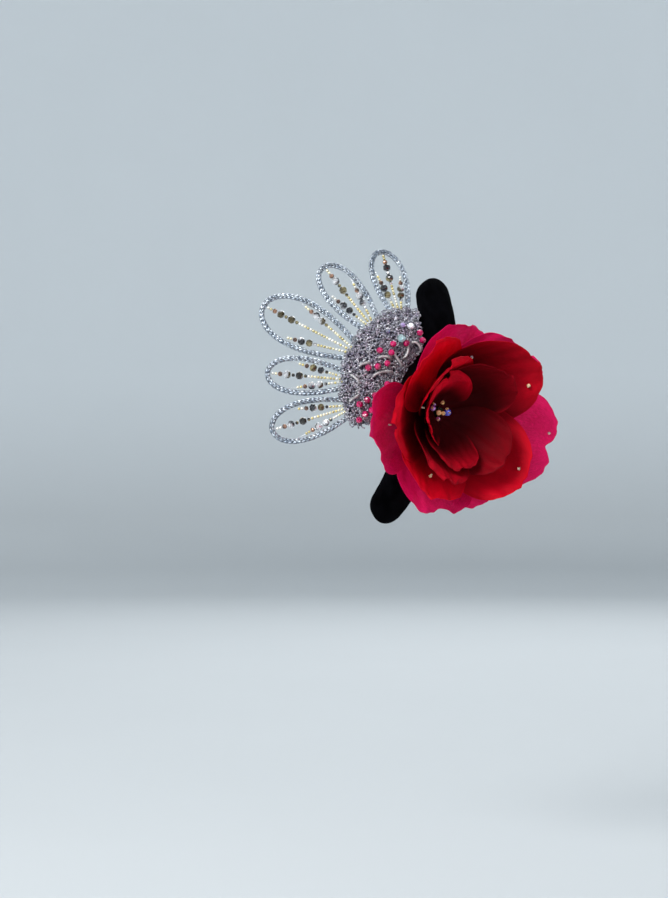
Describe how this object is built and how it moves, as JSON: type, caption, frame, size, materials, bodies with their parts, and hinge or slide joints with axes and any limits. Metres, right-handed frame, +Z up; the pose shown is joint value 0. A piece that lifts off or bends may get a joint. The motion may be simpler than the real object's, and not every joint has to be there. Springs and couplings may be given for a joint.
{
  "type": "flower hair clip",
  "caption": "Hair ornament on a curved padded band: a layered fabric flower beside a crochet fan with beaded cord loops, held in the hair by sprung clips on its back.",
  "frame": {"origin": "on the felt back of the band beside its middle, where it meets the wearer's hair", "axes": "worn on the left side of an upright head: +Z up, -X towards the face, +Y into the head, so the flower and the fan face -Y"},
  "size_m": [0.1723, 0.1051, 0.1614],
  "materials": {
    "black_velvet": "velvet pile, no shine",
    "white_wadding": "soft polyester wadding",
    "stiff_board": "stiff millinery board",
    "black_felt": "pressed felt",
    "silver_crochet_yarn": "metallic lurex yarn, glittering",
    "silver_braid": "braided metallic cord, satin shine",
    "bead_wire": "fine bright wire",
    "gold_seed_glass": "silver-lined champagne gold, glossy",
    "hematite_glass": "fire-polished facets, half-mirrored",
    "magenta_glass": "glossy transparent",
    "pale_crystal": "cut crystal with a rainbow coat",
    "green_stem_tape": "waxed floral tape",
    "gold_wire": "fine brass wire",
    "violet_glass": "iridescent faceted",
    "gold_bead_glass": "glossy metallic",
    "sheer_magenta_organza": "sheer, streaked with fine fibres",
    "red_silk": "silky, soft sheen",
    "plated_steel": "bright plated sheet",
    "spring_steel": "blued spring leaf and turned pin"
  },
  "bodies": {
    "ornament": {"velvet_cover": "black_velvet", "band_padding": "white_wadding", "band_core": "stiff_board", "felt_lining": "black_felt", "fan_felt": "black_felt", "upper_clip_pad": "black_felt", "lower_clip_pad": "black_felt", "flower_disc": "black_felt", "crochet_base": "silver_crochet_yarn", "cord_loop_1": "silver_braid", "cord_loop_2": "silver_braid", "cord_loop_3": "silver_braid", "cord_loop_4": "silver_braid", "cord_loop_5": "silver_braid", "strand_wires": "bead_wire", "seed_beads_1": "gold_seed_glass", "seed_beads_2": "gold_seed_glass", "seed_beads_3": "gold_seed_glass", "seed_beads_4": "gold_seed_glass", "seed_beads_5": "gold_seed_glass", "facet_beads_1": "hematite_glass", "facet_beads_2": "hematite_glass", "facet_beads_3": "hematite_glass", "facet_beads_4": "hematite_glass", "facet_beads_5": "hematite_glass", "magenta_beads": "magenta_glass", "crystals": "pale_crystal", "flower_stem": "green_stem_tape", "stamen_wires": "gold_wire", "stamen_beads": "violet_glass", "dew_beads": "gold_bead_glass", "sheer_petal_1": "sheer_magenta_organza", "sheer_petal_2": "sheer_magenta_organza", "sheer_petal_3": "sheer_magenta_organza", "sheer_petal_4": "sheer_magenta_organza", "sheer_petal_5": "sheer_magenta_organza", "sheer_petal_6": "sheer_magenta_organza", "red_petal_1": "red_silk", "red_petal_2": "red_silk", "red_petal_3": "red_silk", "red_petal_4": "red_silk", "red_petal_5": "red_silk", "middle_petal_1": "red_silk", "middle_petal_2": "red_silk", "middle_petal_3": "red_silk", "middle_petal_4": "red_silk", "inner_petal_1": "red_silk", "inner_petal_2": "red_silk", "inner_petal_3": "red_silk", "upper_clip_plate": "plated_steel", "lower_clip_plate": "plated_steel", "upper_clip_pin": "spring_steel", "upper_clip_spring": "spring_steel", "lower_clip_pin": "spring_steel", "lower_clip_spring": "spring_steel"},
    "upper_lever": {"upper_clip_lever": "plated_steel"},
    "lower_lever": {"lower_clip_lever": "plated_steel"}
  },
  "joints": [
    {"name": "upper_clip_hinge", "type": "hinge", "parent": "ornament", "child": "upper_lever", "pos_m": [0.00338, 0.0197, 0.04654], "axis": [0.8048, 0.5599, -0.1969], "range_deg": [0, 22], "stiffness_Nm_per_rad": 0.12, "springref_deg": -28.65, "deforming": ["upper_clip_spring"]},
    {"name": "lower_clip_hinge", "type": "hinge", "parent": "ornament", "child": "lower_lever", "pos_m": [-0.01073, 0.00889, -0.03436], "axis": [0.7881, 0.5601, -0.2551], "range_deg": [0, 22], "stiffness_Nm_per_rad": 0.12, "springref_deg": -28.65, "deforming": ["lower_clip_spring"]}
  ]
}
